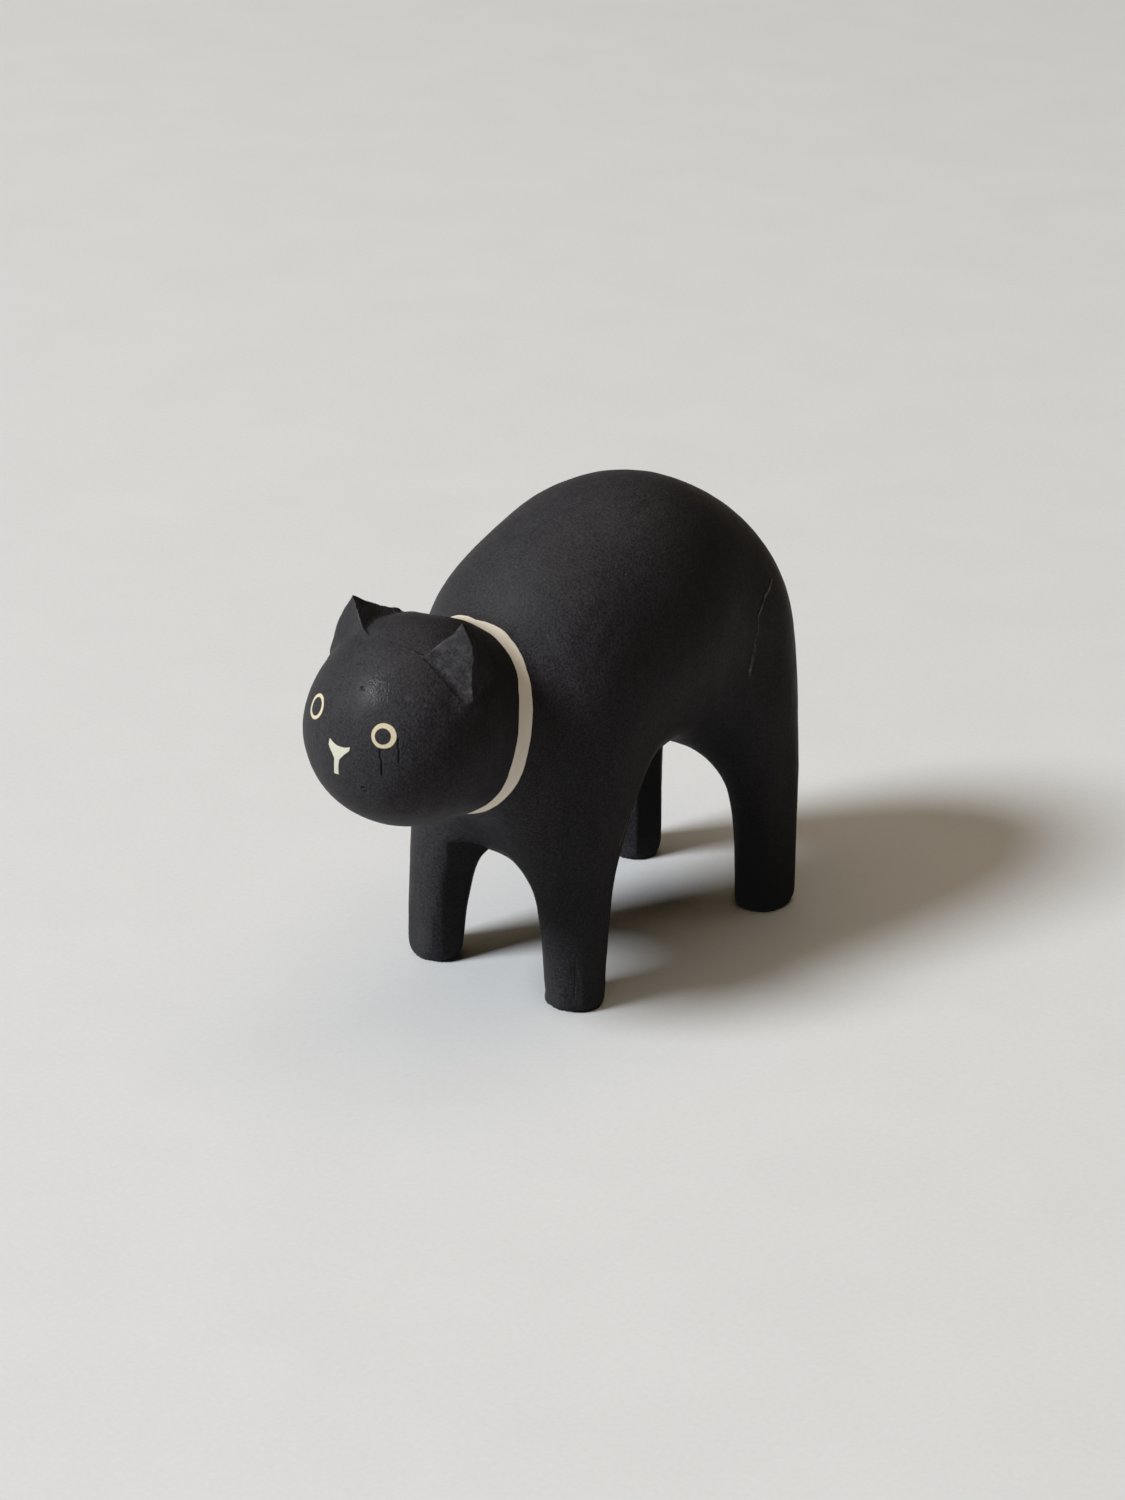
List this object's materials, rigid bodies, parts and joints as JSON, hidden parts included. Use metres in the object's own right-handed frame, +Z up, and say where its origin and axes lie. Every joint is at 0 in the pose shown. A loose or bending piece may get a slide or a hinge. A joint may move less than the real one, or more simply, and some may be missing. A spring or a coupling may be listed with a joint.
{
  "type": "wooden cat figure",
  "caption": "Small standing cat carved from one block of wood, with a round head, pointed ears, an arched trunk, stubby legs and a painted collar band.",
  "frame": {"origin": "centre of the figure's footprint box, on the ground plane under the soles", "axes": "+Z up, the cat looks along -Y, its own left side is +X"},
  "size_m": [0.0436, 0.1024, 0.0814],
  "materials": {
    "painted_wood": "matt black paint brushed on sanded hand-carved wood, with a cream painted collar band, cream eye rings and a pale grey-green nose"
  },
  "bodies": {
    "root": {"carved_cat": "painted_wood"}
  },
  "joints": []
}
